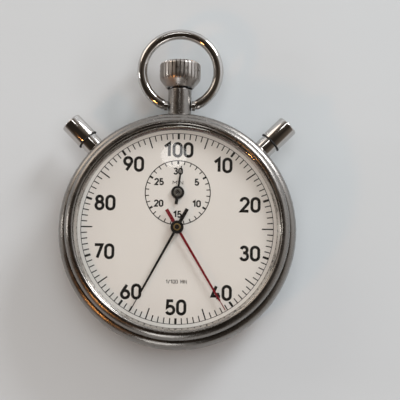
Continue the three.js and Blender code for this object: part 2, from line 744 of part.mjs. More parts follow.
function escapeWheel() {
  const wheel = { teeth: 15, module: (2 * 2.7) / 15 };
  const wheelLevel = { bottom: LEVEL.escape.bottom + 0.1, top: LEVEL.escape.top - 0.1 };
  const leaf = gearOf(TRAIN.pinion.teeth, TRAIN.fourth);
  const leafPhase = phaseFrom(TRAIN.fourth, 0, TRAIN.pinion.teeth, CENTRE, ESCAPE);
  return arborWheel(
    ESCAPE, wheel, 0, wheelLevel, leaf, leafPhase, { bottom: 5.6, top: 6.4 }, { bottom: 4.0, top: 8.45 },
  );
}

// ---- escapement ----
const STONE_SPREAD = 31 * DEGREE;
const stoneAngle = (side) => bearing(ESCAPE, PALLET) + side * STONE_SPREAD;

function palletStone(side) {
  const angle = stoneAngle(side);
  const corner = (radius, turn) => polar(ESCAPE, radius, angle + turn * DEGREE);
  const outline = [corner(3.5, -2.5), corner(4.15, -2.5), corner(4.15, 2.5), corner(3.5, 2.5)];
  return plate(outline, LEVEL.escape);
}

// Two arms hold the stones; a third ends in the two horns that take the impulse pin between them.
function palletFork() {
  const level = { bottom: 7.65, top: 8.0 };
  const along = bearing(PALLET, BALANCE);
  const throat = polar(PALLET, 2.9, along);
  const horns = [-1, 1].map((side) => {
    const tip = polar(PALLET, 3.6, along + side * 8 * DEGREE);
    return arm(throat, tip, 0.5, 0.25, level);
  });
  const stoneArms = [-1, 1].map((side) => {
    const tip = polar(ESCAPE, 4.75, stoneAngle(side));
    return arm(PALLET, tip, 0.9, 0.5, level);
  });
  const pivot = at(PALLET, rod(0.25, 6.7, 8.45, 8));
  return join(arm(PALLET, throat, 0.8, 0.5, level), ...horns, ...stoneArms, pivot);
}

// A two-spoke balance on its staff, with the roller and impulse pin that the fork drives.
function balanceWheel() {
  const rim = tube(BALANCE_RADIUS, 5.6, LEVEL.balance.bottom, LEVEL.balance.top, 28);
  const staff = turned([
    [0, 3.7], [0.2, 3.7], [0.2, 4.5], [0.4, 4.5], [0.4, 5.4], [0.9, 5.4], [0.9, 6.1], [0.35, 6.1],
    [0.35, 7.25], [1.2, 7.25], [1.2, 7.5], [0.3, 7.5], [0.3, 8.45], [0, 8.45],
  ], 12);
  const spokes = block([-5.8, -0.4, 5.6], [5.8, 0.4, 5.9]);
  const impulsePin = at([0.85, 0], rod(0.18, 7.4, 8.0, 8));
  return at(BALANCE, join(spokes, impulsePin, rim, staff).rotateZ(bearing(BALANCE, PALLET)));
}

const hairspring = () =>
  spiral(BALANCE, { from: 0.85, to: 3.4, turns: 4, width: 0.12 }, { bottom: 4.85, top: 5.1 });

// ---- minute-counter train under the dial ----
const COUNTER_PHASE = phaseFrom(
  TRAIN.counterDrive, 0, TRAIN.intermediate.teeth, CENTRE, INTERMEDIATE,
);

const intermediateWheel = () =>
  join(
    spokedWheel(INTERMEDIATE, TRAIN.intermediate, COUNTER_PHASE, LEVEL.intermediate),
    pinion(INTERMEDIATE, gearOf(TRAIN.pinion.teeth, TRAIN.minute), 0, { bottom: 11.0, top: 11.6 }),
    at(INTERMEDIATE, rod(0.3, 9.0, 11.6, 8)),
  );

function minuteWheel() {
  const phase = phaseFrom(TRAIN.pinion, 0, TRAIN.minute.teeth, INTERMEDIATE, COUNTER);
  const wheel = spokedWheel(COUNTER, TRAIN.minute, phase, LEVEL.minute);
  return cut(wheel, hole(COUNTER, 0.5));
}

// ---- levers ----
const LEVER_PIVOT_HOLE = 0.5;
const mirrored = (side, points) => points.map(([x, y]) => [side * x, y]);

// The long arms that close on the split wheel from both sides; the left one is pushed by its pusher.
function splitArm(side) {
  const outline = mirrored(side, [
    [8.9, 16.6], [9.0, 17.6], [7.8, 18.1], [6.9, 17.2], [6.9, 8.0], [7.0, 1.2], [6.7, -0.9], [7.7, -1.2],
    [8.3, 1.2], [8.4, 8.0],
  ]);
  return plate(outline, LEVEL.split, [ring(LEVER_PIVOT_HOLE, 8, [side * 8, 17])]);
}

// The tab that a pusher's stem presses, hanging down through the mainplate's edge.
const pusherTab = (angle, top) => block([-0.8, 21.2, 6.8], [0.8, 21.8, top]).rotateZ(angle);

function splitLever() {
  const { angle } = SIDES[0];
  const link = plate(
    [[-8.2, 16.2], [-7.6, 17.9], [-14.4, 15.9], [-15.6, 15.2], [-15.0, 14.4], [-13.4, 14.5]],
    LEVEL.split,
  );
  const body = join(splitArm(-1), link, pusherTab(angle, LEVEL.split.top));
  return cut(body, hole([-8, 17], LEVER_PIVOT_HOLE));
}

const splitClamp = () => splitArm(1);

function resetHammer() {
  const { angle } = SIDES[1];
  const outline = [
    [8.0, 17.9], [7.2, 16.9], [6.8, 12], [4.3, 9.6], [4.3, 7.6], [6.2, 6.4], [5.9, 1.2],
    [5.9, -1.2], [7.2, -1.2], [8.0, 4], [8.6, 12], [9.4, 15.6], [13.4, 14.5],
    [15.0, 14.4], [15.6, 15.2], [14.4, 15.9],
  ];
  const body = join(plate(outline, LEVEL.heart), pusherTab(angle, LEVEL.heart.top));
  return cut(body, hole([8, 17], LEVER_PIVOT_HOLE));
}

function startStopLever() {
  const outline = [
    [-1.2, 13.6], [-1.2, 12.8], [5.5, 11.4], [8.6, 11.8], [11.8, 8.4], [12.8, 9.2],
    [10.4, 12.6], [9.6, 14.4], [7.6, 14.4], [5.5, 12.9], [1.2, 13.6],
  ];
  return plate(outline, { bottom: 6.8, top: 7.9 }, [ring(LEVER_PIVOT_HOLE, 8, [8.5, 13.0])]);
}

function brakeLever() {
  const outline = [
    [13.2, 8.3], [12.6, 7.4], [16.6, 1.8], [16.2, -3.0], [15.2, -7.4], [16.1, -8.5],
    [17.2, -7.9], [17.6, -3.0], [19.3, 1.6], [18.2, 3.4],
  ];
  return plate(outline, { bottom: 5.4, top: 6.1 }, [ring(LEVER_PIVOT_HOLE, 8, [18, 2])]);
}

// ---- everything in its place ----
add('case_band', caseBand(), TURNED_STEEL);
add('back_cover', backCover(), TURNED_STEEL);
add('bezel', bezel(), CHROME);
add('crystal', crystal(), CRYSTAL);
add('rehaut_ring', rehaut(), CHROME);
add('movement_ring', movementRing(), BRASS);

add('pendant', pendant(), CHROME);
add('bow', bow(), CHROME);
add('crown', crown(), CHROME);
add('winding_stem', windingStem(), STEEL);
add('push_sleeve', pushSleeve(), STEEL);
add('crown_spring', crownSpring(), STEEL);

for (const { name, angle } of SIDES) {
  add(`${name}_pusher_cap`, pusherCap(angle), CHROME);
  add(`${name}_pusher_seal`, pusherSeal(angle), RUBBER);
  add(`${name}_pusher_sleeve`, pusherSleeve(angle), CHROME);
  add(`${name}_pusher_spring`, pusherSpring(angle), STEEL);
}

add('dial', dial(), ENAMEL);
add('sweep_hand', sweepHand(), BLACK_METAL);
add('sweep_arbor', sweepArbor(), BRASS);
add('split_hand', splitHand(), RED_METAL);
add('split_wheel', splitWheel(), STEEL);
add('minute_hand', minuteHand(), BLACK_METAL);
add('minute_arbor', minuteArbor(), STEEL);

add('mainplate', mainplate(), NICKEL);
add('train_bridge', trainBridge(), NICKEL);
add('barrel_bridge', barrelBridge(), NICKEL);
add('balance_cock', balanceCock(), NICKEL);
add('pallet_cock', palletCock(), NICKEL);
add('train_bridge_screw', screw(SCREWS.bridge, 2.9, 9.8), BLUED_STEEL);
add('barrel_bridge_screw', screw(SCREWS.barrelBridge, 4.7, 9.8), BLUED_STEEL);
add('balance_cock_screw', screw(SCREWS.cock, 2.9, 9.8), BLUED_STEEL);
add('crown_wheel_screw', crownWheelScrew(), STEEL);

add('winding_pinion', windingPinion(), STEEL);
add('crown_wheel', crownWheel(), STEEL);
add('ratchet_wheel', ratchetWheel(), STEEL);
add('barrel_arbor', barrelArbor(), STEEL);
add('click', click(), STEEL);

add('barrel', barrel(), BRASS);
add('barrel_lid', barrelLid(), BRASS);
add('mainspring', mainspring(), BLUED_STEEL);
add('second_wheel', secondWheel(), BRASS);
add('third_wheel', thirdWheel(), BRASS);
add('fourth_wheel', fourthWheel(), BRASS);
add('escape_wheel', escapeWheel(), STEEL);
add('pallet_fork', palletFork(), STEEL);
add('entry_pallet', palletStone(1), RUBY);
add('exit_pallet', palletStone(-1), RUBY);
add('balance_wheel', balanceWheel(), BRASS);
add('hairspring', hairspring(), BLUED_STEEL);
add('intermediate_wheel', intermediateWheel(), BRASS);
add('minute_wheel', minuteWheel(), BRASS);

add('start_stop_lever', startStopLever(), STEEL);
add('brake_lever', brakeLever(), STEEL);
add('reset_hammer', resetHammer(), STEEL);
add('split_lever', splitLever(), STEEL);
add('split_clamp', splitClamp(), STEEL);

export default watch;
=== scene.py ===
"""Looks of the pocket stopwatch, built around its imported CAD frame.

Sizes are in millimetres unless a name says otherwise, and are scaled to metres when a mesh is made.
The watch lies on its flat back: Z is up, and +Y runs from the dial centre through the crown.
"""

import json
import math

import bmesh
import bpy
from mathutils import Matrix, Vector

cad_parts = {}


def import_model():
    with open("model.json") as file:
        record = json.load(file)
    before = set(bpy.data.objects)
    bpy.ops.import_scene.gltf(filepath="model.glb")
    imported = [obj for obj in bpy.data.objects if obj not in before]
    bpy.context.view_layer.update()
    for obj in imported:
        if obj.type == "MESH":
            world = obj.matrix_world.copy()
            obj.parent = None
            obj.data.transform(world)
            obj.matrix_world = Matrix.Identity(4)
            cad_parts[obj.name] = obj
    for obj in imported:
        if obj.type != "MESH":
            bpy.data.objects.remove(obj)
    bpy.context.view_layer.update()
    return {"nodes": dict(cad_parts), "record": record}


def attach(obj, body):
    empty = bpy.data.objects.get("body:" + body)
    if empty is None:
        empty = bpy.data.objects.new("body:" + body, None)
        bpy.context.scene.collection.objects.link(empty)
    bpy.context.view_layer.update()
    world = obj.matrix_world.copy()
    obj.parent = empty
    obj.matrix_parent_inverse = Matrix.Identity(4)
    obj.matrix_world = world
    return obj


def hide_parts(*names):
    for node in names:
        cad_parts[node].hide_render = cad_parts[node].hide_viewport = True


MM = 0.001
SEGMENTS = 192
SMALL_SEGMENTS = 64
SHARP_ANGLE = math.radians(32)

# Case
BACK_FLAT_RADIUS = 20.5
BAND_RADIUS = 27.5
BAND_BOTTOM = 2.9
BAND_TOP = 12.4
BAND_BORE = 24.2
POCKET_BOTTOM = 4.4
POCKET_TOP = 10.4
POCKET_DEPTH = 2.4
POCKET_HALF_ANGLE = math.radians(7.6)
BEZEL_FOOT = 12.45
BEZEL_RADIUS = 25.75
WINDOW_RADIUS = 23.7  # the opening of the bezel
STEM_HEIGHT = 7.4  # the axis of the crown, the bow and the pushers above the floor
CRYSTAL_APEX = 18.0
CRYSTAL_DROP = 2.3
CRYSTAL_RADIUS = 23.45
CRYSTAL_INNER_RADIUS = 22.9
CRYSTAL_THICKNESS = 0.8

# Crown, bow and pushers, measured along their own axes from the dial centre
PENDANT_RADIUS = 2.72
PENDANT_BORE = 1.95
PENDANT_FOOT = 24.5
PENDANT_TOP = 33.7
CROWN_RADIUS = 4.84
CROWN_BOTTOM = 34.0
CROWN_TOP = 40.35
CROWN_FLUTES = 32
FLUTE_DEPTH = 0.42
FLUTE_START = 1.6  # above the foot of the crown, where the flutes begin to sink in
BOW_CENTRE = 38.15
BOW_RADIUS = 8.98
BOW_WIRE = 1.2
BOW_SIDES = 32
BOW_END_GAP = 3.35
BOW_PIN_HEIGHT = 29.82
PUSHER_ANGLES = {"left": 45, "right": -45}
PUSHER_RADIUS = 2.55
PUSHER_BORE = 2.38
PUSHER_TOP = 36.15
PUSHER_STEM_RADIUS = 0.75
PUSHER_STEM_END = 22.1
SLEEVE_RADIUS = 2.3
SLEEVE_FOOT = 24.3
SEAL_RADIUS = 2.65
SEAL_BOTTOM = 30.1
SEAL_TOP = 30.4

# Dial and hands
DIAL_TOP = 13.3
PRINT_HEIGHT = 0.02
LAYER_STEP = 0.002  # keeps the tops of crossing strokes apart
TRACK_RADIUS = 21.98
TEN_TICK = (1.37, 0.52)  # length and width of the main scale's ticks
FIVE_TICK = (2.63, 0.29)
PLAIN_TICK = (1.36, 0.24)
NUMERAL_RADII = (17.45, 18.15)  # across and up, so that the wide numbers keep inside the ticks
NUMERAL_HEIGHT = 3.64
NUMERAL_STROKE = 0.66
CAPTION_Y = -12.3
COUNTER_Y = 8.16
COUNTER_RADIUS = 7.45
COUNTER_MINUTES = 30
COUNTER_NUMERAL_RADIUS = 5.0
SWEEP_TURN = 0.578
SPLIT_TURN = 0.414
MINUTE_TURN = SWEEP_TURN / COUNTER_MINUTES
LONG_HAND = {"length": 21.8, "width": 0.6, "needle": 0.2, "tail": 4.8, "tail_width": 0.8}
SHORT_HAND = {"length": 6.2, "width": 0.5, "needle": 0.2, "tail": 2.75, "tail_width": 0.7}
COLLAR_HEIGHT = 0.09

# Camera
VIEW_LEAN = math.radians(9)
VIEW_ROLL = math.radians(0.9)
VIEW_DISTANCE = 340.0
VIEW_AIM = (5.12, 7.48, STEM_HEIGHT)
VIEW_WIDTH = 93.2

# Room
DARK_SIDE = (-0.25, -0.45, 1.0)  # darkest overhead and towards the lower left
FLOOR_HALF = 1200
FLOOR_DROP = 0.02  # below the case back, so that the two faces don't meet


# Meshes -------------------------------------------------------------------------------------------


def rounded(corners, steps=5):
    """Outline through (radius, height, cut) corners, each corner eased off over its cut length."""
    outline = []
    for i, (radius, height, cut) in enumerate(corners):
        corner = Vector((radius, height))
        if cut == 0:
            outline.append(tuple(corner))
            continue
        before = Vector(corners[i - 1][:2]) - corner
        after = Vector(corners[(i + 1) % len(corners)][:2]) - corner
        start = corner + before.normalized() * min(cut, before.length * 0.49)
        end = corner + after.normalized() * min(cut, after.length * 0.49)
        for step in range(steps + 1):
            t = step / steps
            point = start * (1 - t) ** 2 + corner * 2 * t * (1 - t) + end * t**2
            outline.append(tuple(point))
    return outline


def add_faces_between(bm, ring_a, ring_b):
    """Skin of quads between two rings of equal length, with triangles where a ring is one point."""
    count = len(ring_a)
    for i in range(count):
        j = (i + 1) % count
        corners = []
        for vert in (ring_a[i], ring_a[j], ring_b[j], ring_b[i]):
            if vert not in corners:
                corners.append(vert)
        if len(corners) > 2:
            bm.faces.new(corners)


def add_loop_skin(bm, rings):
    """Skin over a row of rings whose last one joins the first."""
    for ring_a, ring_b in zip(rings, rings[1:] + rings[:1]):
        add_faces_between(bm, ring_a, ring_b)


def add_capped_skin(bm, rings):
    """Skin over a row of rings, with a face over each end."""
    for ring_a, ring_b in zip(rings, rings[1:]):
        add_faces_between(bm, ring_a, ring_b)
    bm.faces.new(list(reversed(rings[0])))
    bm.faces.new(rings[-1])


def add_lathe(bm, outline, segments, ripple=None):
    """Closed solid turned round Z, with ripple(angle, radius, height) taken off its radius."""
    rings = []
    for radius, height in outline:
        if radius < 1e-6:
            rings.append([bm.verts.new((0, 0, height))] * segments)
            continue
        ring = []
        for i in range(segments):
            angle = math.tau * i / segments
            r = radius - (ripple(angle, radius, height) if ripple else 0)
            ring.append(bm.verts.new((r * math.cos(angle), r * math.sin(angle), height)))
        rings.append(ring)
    add_loop_skin(bm, rings)


def add_prism(bm, outline, bottom, top):
    """Closed slab over an outline."""
    add_capped_skin(bm, [[bm.verts.new((x, y, height)) for x, y in outline] for height in (bottom, top)])


def add_sweep(bm, points, radii, sides):
    """Closed round wire along points, with a radius at each point."""
    rings = []
    for i, point in enumerate(points):
        ahead = points[min(i + 1, len(points) - 1)] - points[max(i - 1, 0)]
        along = ahead.normalized()
        side = along.cross(Vector((0, 0, 1))).normalized()
        up = side.cross(along)
        ring = []
        for k in range(sides):
            angle = math.tau * k / sides
            offset = side * math.cos(angle) + up * math.sin(angle)
            ring.append(bm.verts.new(point + offset * radii[i]))
        rings.append(ring)
    add_capped_skin(bm, rings)


def piece(name, build, material, body, replaced=(), place=None):
    """Object whose mesh is filled in by build(bm), riding on a body in place of CAD nodes."""
    bm = bmesh.new()
    build(bm)
    bmesh.ops.recalc_face_normals(bm, faces=bm.faces)
    bmesh.ops.scale(bm, vec=(MM, MM, MM), verts=bm.verts)
    mesh = bpy.data.meshes.new(name)
    bm.to_mesh(mesh)
    bm.free()
    mesh.polygons.foreach_set("use_smooth", [True] * len(mesh.polygons))
    mesh.set_sharp_from_angle(angle=SHARP_ANGLE)
    mesh.materials.append(material)
    obj = bpy.data.objects.new(name, mesh)
    bpy.context.scene.collection.objects.link(obj)
    if place is not None:
        obj.matrix_world = place
    bpy.context.view_layer.update()
    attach(obj, body)
    if replaced:
        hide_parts(*replaced)
    return obj


def turned_piece(name, outline, material, body, replaced=(), place=None, segments=SEGMENTS, ripple=None):
    """Piece turned round its own Z axis."""

    def build(bm):
        add_lathe(bm, outline, segments, ripple)

    return piece(name, build, material, body, replaced, place)


def radial_place(degrees):
    """Placement that lays a part's Z axis along +Y at stem height, then swings it round the case."""
    swing = Matrix.Rotation(math.radians(degrees), 4, "Z")
    lift = Matrix.Translation((0, 0, STEM_HEIGHT * MM))
    lay_down = Matrix.Rotation(math.radians(-90), 4, "X")
    return swing @ lift @ lay_down


# Materials ----------------------------------------------------------------------------------------


class Nodes:
    """A shader node tree, with short ways to add to it."""

    def __init__(self, tree):
        self.tree = tree

    def add(self, kind, **settings):
        node = self.tree.nodes.new(kind)
        for key, value in settings.items():
            setattr(node, key, value)
        return node

    def link(self, source, target):
        self.tree.links.new(source, target)

    def math(self, operation, *values):
        node = self.add("ShaderNodeMath", operation=operation)
        for slot, value in zip(node.inputs, values):
            if isinstance(value, (int, float)):
                slot.default_value = value
            else:
                self.link(value, slot)
        return node.outputs[0]

    def noise(self, vector, scale, detail=3.0):
        """Noise with about this many features for each unit of the vector."""
        node = self.add("ShaderNodeTexNoise")
        self.link(vector, node.inputs["Vector"])
        node.inputs["Scale"].default_value = scale
        node.inputs["Detail"].default_value = detail
        return node.outputs["Fac"]

    def ramp(self, factor, stops):
        """Colour that follows a factor through (position, colour) stops."""
        node = self.add("ShaderNodeValToRGB")
        self.link(factor, node.inputs["Fac"])
        elements = node.color_ramp.elements
        for position, _ in stops[1:-1]:
            elements.new(position)
        for element, (position, colour) in zip(elements, stops):
            element.position = position
            element.color = (*colour, 1)
        return node.outputs["Color"]


class Finish(Nodes):
    """A material being built: a Principled shader, and what feeds it."""

    def __init__(self, name, roughness, metallic=0.0):
        self.material = bpy.data.materials.new(name)
        self.material.use_nodes = True
        super().__init__(self.material.node_tree)
        self.tree.nodes.clear()
        self.output = self.add("ShaderNodeOutputMaterial")
        self.shader = self.add("ShaderNodeBsdfPrincipled")
        self.shader.inputs["Roughness"].default_value = roughness
        self.shader.inputs["Metallic"].default_value = metallic
        self.link(self.shader.outputs["BSDF"], self.output.inputs["Surface"])
        self.place = self.place_in_millimetres()

    def place_in_millimetres(self):
        node = self.add("ShaderNodeVectorMath", operation="SCALE")
        self.link(self.add("ShaderNodeTexCoord").outputs["Object"], node.inputs[0])
        node.inputs["Scale"].default_value = 1 / MM
        return node.outputs[0]

    def around_axis(self):
        """Coordinates that are the same all the way round the Z axis, so detail turns into rings."""
        split = self.add("ShaderNodeSeparateXYZ")
        self.link(self.place, split.inputs[0])
        squares = [self.math("MULTIPLY", split.outputs[k], split.outputs[k]) for k in ("X", "Y")]
        radius = self.math("SQRT", self.math("ADD", *squares))
        joined = self.add("ShaderNodeCombineXYZ")
        self.link(radius, joined.inputs["X"])
        self.link(split.outputs["Z"], joined.inputs["Y"])
        return joined.outputs[0]

    def spread(self, value, low, high):
        """The middle of a noise, stretched from low to high."""
        node = self.add("ShaderNodeMapRange")
        self.link(value, node.inputs["Value"])
        node.inputs["From Min"].default_value = 0.3
        node.inputs["From Max"].default_value = 0.7
        node.inputs["To Min"].default_value = low
        node.inputs["To Max"].default_value = high
        return node.outputs["Result"]

    def colour(self, factor, low, high):
        """Base colour that goes from low to high with a factor."""
        self.link(self.ramp(factor, [(0, low), (1, high)]), self.shader.inputs["Base Color"])

    def roughness(self, factor, low, high):
        self.link(self.spread(factor, low, high), self.shader.inputs["Roughness"])

    def bump(self, height, depth):
        """Relief of the given depth in millimetres."""
        node = self.add("ShaderNodeBump")
        self.link(height, node.inputs["Height"])
        node.inputs["Distance"].default_value = depth * MM
        self.link(node.outputs["Normal"], self.shader.inputs["Normal"])


def tinted(colour, factor):
    return tuple(channel * factor for channel in colour)


def turned_metal(name, colour, roughness, lines, depth):
    """Metal with fine lines left by the lathe, and slight smears of handling."""
    finish = Finish(name, roughness, metallic=1.0)
    rings = finish.noise(finish.around_axis(), lines, detail=4)
    smear = finish.noise(finish.place, 0.25)
    mottled = finish.math("ADD", finish.math("MULTIPLY", rings, 0.6), finish.math("MULTIPLY", smear, 0.4))
    finish.colour(mottled, tinted(colour, 0.72), colour)
    finish.roughness(smear, roughness * 0.8, roughness * 1.25)
    finish.bump(rings, depth)
    return finish.material


def polished_metal(name, colour, roughness):
    """Bright metal with hairline scratches and faint smears."""
    finish = Finish(name, roughness, metallic=1.0)
    stretched = finish.add("ShaderNodeMapping", vector_type="POINT")
    finish.link(finish.place, stretched.inputs["Vector"])
    stretched.inputs["Rotation"].default_value = (0.6, 0.3, 0.9)
    stretched.inputs["Scale"].default_value = (0.15, 4, 4)
    scratches = finish.noise(stretched.outputs["Vector"], 2.0)
    smear = finish.noise(finish.place, 0.6)
    finish.colour(smear, tinted(colour, 0.86), colour)
    finish.roughness(smear, roughness * 0.75, roughness * 1.4)
    finish.bump(scratches, 0.0006)
    return finish.material


def grained_metal(name, colour, roughness):
    """Metal of the movement, with a fine frosted grain."""
    finish = Finish(name, roughness, metallic=1.0)
    grain = finish.noise(finish.place, 9.0, detail=4)
    cloud = finish.noise(finish.place, 0.7)
    finish.colour(cloud, tinted(colour, 0.75), colour)
    finish.roughness(grain, roughness * 0.8, roughness * 1.3)
    finish.bump(grain, 0.004)
    return finish.material


def enamel(name, colour):
    """Painted dial with a slight orange peel and a warm mottling."""
    finish = Finish(name, 0.42)
    finish.shader.inputs["Specular IOR Level"].default_value = 0.35
    cloud = finish.noise(finish.place, 0.12, detail=2)
    finish.colour(cloud, tinted(colour, 0.94), colour)
    finish.roughness(cloud, 0.38, 0.48)
    finish.bump(finish.noise(finish.place, 5.0), 0.002)
    return finish.material


def lacquer(name, colour, worn, roughness):
    """Thin gloss coat that has gone slightly uneven."""
    finish = Finish(name, roughness)
    cloud = finish.noise(finish.place, 1.4)
    finish.colour(cloud, colour, worn)
    finish.roughness(cloud, roughness * 0.8, roughness * 1.3)
    finish.bump(finish.noise(finish.place, 8.0), 0.002)
    return finish.material


def rubber(name):
    """Black seal, dull and slightly pitted."""
    finish = Finish(name, 0.6)
    pits = finish.noise(finish.place, 6.0)
    finish.colour(pits, (0.008, 0.008, 0.008), (0.028, 0.026, 0.025))
    finish.bump(pits, 0.01)
    return finish.material


def jewel(name):
    """Synthetic ruby, clear red with a soft inner cloud."""
    finish = Finish(name, 0.08)
    finish.shader.inputs["IOR"].default_value = 1.76
    cloud = finish.noise(finish.place, 2.0)
    finish.colour(cloud, (0.30, 0.01, 0.03), (0.55, 0.03, 0.08))
    finish.bump(finish.noise(finish.place, 12.0), 0.001)
    return finish.material


def crystal_glass(name):
    """Clear domed crystal: what lies under it shows through, with the room reflected over it."""
    finish = Finish(name, 0.03)
    finish.tree.nodes.remove(finish.shader)
    clear = finish.add("ShaderNodeBsdfTransparent")
    clear.inputs["Color"].default_value = (0.985, 0.985, 0.975, 1)
    gloss = finish.add("ShaderNodeBsdfGlossy")
    smear = finish.noise(finish.place, 0.15)
    finish.link(finish.spread(smear, 0.02, 0.06), gloss.inputs["Roughness"])
    fresnel = finish.add("ShaderNodeFresnel")
    fresnel.inputs["IOR"].default_value = 1.5
    inside = finish.add("ShaderNodeNewGeometry").outputs["Backfacing"]
    reflected = finish.math("MULTIPLY", fresnel.outputs[0], finish.math("SUBTRACT", 1, inside))
    mix = finish.add("ShaderNodeMixShader")
    finish.link(reflected, mix.inputs["Fac"])
    finish.link(clear.outputs[0], mix.inputs[1])
    finish.link(gloss.outputs[0], mix.inputs[2])
    finish.link(mix.outputs[0], finish.output.inputs["Surface"])
    return finish.material


def floor_material():
    """Pale matt table top with a faint cloudiness."""
    finish = Finish("pale_floor", 0.55)
    cloud = finish.noise(finish.place, 0.012, detail=4)
    finish.colour(cloud, (0.58, 0.61, 0.62), (0.64, 0.67, 0.69))
    finish.bump(finish.noise(finish.place, 2.0), 0.01)
    return finish.material


def make_materials():
    """One material for each slot in the record, and the crown's satin finish."""
    return {
        "turned_steel": turned_metal("turned_steel", (0.30, 0.28, 0.26), 0.26, 6.0, 0.02),
        "chrome": polished_metal("chrome", (0.60, 0.58, 0.56), 0.08),
        "satin_chrome": polished_metal("satin_chrome", (0.51, 0.475, 0.445), 0.33),
        "crystal_glass": crystal_glass("crystal_glass"),
        "seal_rubber": rubber("seal_rubber"),
        "dial_enamel": enamel("dial_enamel", (0.80, 0.77, 0.745)),
        "black_lacquer": lacquer("black_lacquer", (0.006, 0.006, 0.006), (0.016, 0.015, 0.014), 0.3),
        "red_lacquer": lacquer("red_lacquer", (0.15, 0.004, 0.010), (0.20, 0.008, 0.016), 0.3),
        "gilt_brass": grained_metal("gilt_brass", (0.83, 0.60, 0.27), 0.3),
        "nickel_plate": grained_metal("nickel_plate", (0.70, 0.68, 0.65), 0.28),
        "blued_steel": polished_metal("blued_steel", (0.05, 0.09, 0.30), 0.2),
        "ruby": jewel("ruby"),
        "movement_steel": grained_metal("movement_steel", (0.56, 0.56, 0.57), 0.25),
    }


# Case ---------------------------------------------------------------------------------------------


def dome(apex, drop, radius, steps=14):
    """Points down a dome from its apex to its rim."""
    radii = [radius * i / steps for i in range(steps + 1)]
    return [(r, apex - drop * (r / radius) ** 2) for r in radii]


def pocket(angle, radius, height):
    """Hollows in the band's inner wall, where the pendant and the pusher sleeves come through."""
    if radius > BAND_BORE + 0.01 or not POCKET_BOTTOM <= height <= POCKET_TOP:
        return 0
    for degrees in (0, *PUSHER_ANGLES.values()):
        if abs(angle - math.radians(90 + degrees)) < POCKET_HALF_ANGLE:
            return -POCKET_DEPTH
    return 0


def band_outline():
    return rounded([
        (BAND_BORE, BAND_BOTTOM, 0), (26.5, BAND_BOTTOM, 0.3), (27.3, 4.8, 0.8),
        (BAND_RADIUS, STEM_HEIGHT, 1.6), (27.4, 10.4, 0.8), (26.9, 11.9, 0.5), (26.0, BAND_TOP, 0.3),
        (BAND_BORE, BAND_TOP, 0), (BAND_BORE, POCKET_TOP, 0), (BAND_BORE, POCKET_BOTTOM, 0),
    ])


def back_outline():
    return rounded([
        (0, 0, 0), (BACK_FLAT_RADIUS, 0, 0.4), (24.6, 0.8, 1.2), (26.3, 2.6, 0.25), (23.9, 2.6, 0),
        (23.9, 3.8, 0), (23.3, 3.8, 0), (20.0, 1.0, 0), (0, 1.0, 0),
    ])


def bezel_outline():
    return rounded([
        (24.5, BEZEL_FOOT, 0), (BEZEL_RADIUS - 0.1, BEZEL_FOOT, 0.2), (BEZEL_RADIUS, 14.5, 0.6),
        (25.35, 15.6, 0.4), (24.6, 16.1, 0.3), (24.0, 16.15, 0.2),
        (WINDOW_RADIUS, 15.9, 0.12), (WINDOW_RADIUS, 15.5, 0), (24.5, 15.5, 0),
    ])


def rehaut_outline():
    return rounded([(22.8, 13.4, 0), (24.1, 13.4, 0), (24.1, 14.4, 0), (23.6, 14.4, 0.2)])


def crystal_outline():
    inner_apex = CRYSTAL_APEX - CRYSTAL_THICKNESS
    return (
        dome(CRYSTAL_APEX, CRYSTAL_DROP, CRYSTAL_RADIUS)
        + [(CRYSTAL_RADIUS, 15.2), (24.2, 15.2), (24.2, 14.7), (CRYSTAL_INNER_RADIUS, 14.7)]
        + dome(inner_apex, CRYSTAL_DROP, CRYSTAL_INNER_RADIUS)[::-1]
    )


def add_case(materials):
    steel, chrome, glass = materials["turned_steel"], materials["chrome"], materials["crystal_glass"]
    turned_piece("case_band_look", band_outline(), steel, "case", ["case_band"], ripple=pocket)
    turned_piece("back_cover_look", back_outline(), steel, "case", ["back_cover"])
    turned_piece("bezel_look", bezel_outline(), steel, "case", ["bezel"])
    turned_piece("rehaut_look", rehaut_outline(), chrome, "case", ["rehaut_ring"])
    turned_piece("crystal_look", crystal_outline(), glass, "case", ["crystal"])


# Crown, bow and pushers ---------------------------------------------------------------------------


def add_pendant(materials):
    outline = rounded([
        (PENDANT_BORE, PENDANT_FOOT, 0), (PENDANT_RADIUS, PENDANT_FOOT, 0),
        (PENDANT_RADIUS, PENDANT_TOP, 0.3), (PENDANT_BORE, PENDANT_TOP, 0.1),
    ])
    steel, place = materials["turned_steel"], radial_place(0)
    turned_piece("pendant_look", outline, steel, "case", ["pendant"], place, SMALL_SEGMENTS)


def flute(angle, radius, height):
    """Grooves round the crown, which fade out towards its foot and leave a land between them."""
    if radius < 4.2:
        return 0
    share = min(max((height - CROWN_BOTTOM - FLUTE_START) / 0.9, 0), 1)
    land = min(abs(math.sin(CROWN_FLUTES / 2 * angle)) / 0.5, 1)
    return FLUTE_DEPTH * share * (1 - land)


def add_crown(materials):
    """Fluted knob on a cone, hollow below so that it clears the pendant."""
    hollow_radius = 2.92
    hollow_top = CROWN_BOTTOM + 3.3
    stem_top = CROWN_BOTTOM + 5.3
    outline = rounded([
        (hollow_radius, CROWN_BOTTOM, 0), (3.2, CROWN_BOTTOM, 0.12), (4.7, CROWN_BOTTOM + 1.9, 0.5),
        (CROWN_RADIUS, CROWN_BOTTOM + 2.6, 0.3), (CROWN_RADIUS, CROWN_BOTTOM + 4.2, 0),
        (CROWN_RADIUS, CROWN_TOP - 0.6, 0.5), (4.0, CROWN_TOP - 0.08, 0.5), (0, CROWN_TOP, 0),
        (0, stem_top, 0), (1.3, stem_top, 0), (1.3, hollow_top, 0), (hollow_radius, hollow_top, 0),
    ])
    satin, place, segments = materials["satin_chrome"], radial_place(0), CROWN_FLUTES * 12
    turned_piece("crown_look", outline, satin, "crown_group", ["crown"], place, segments, flute)


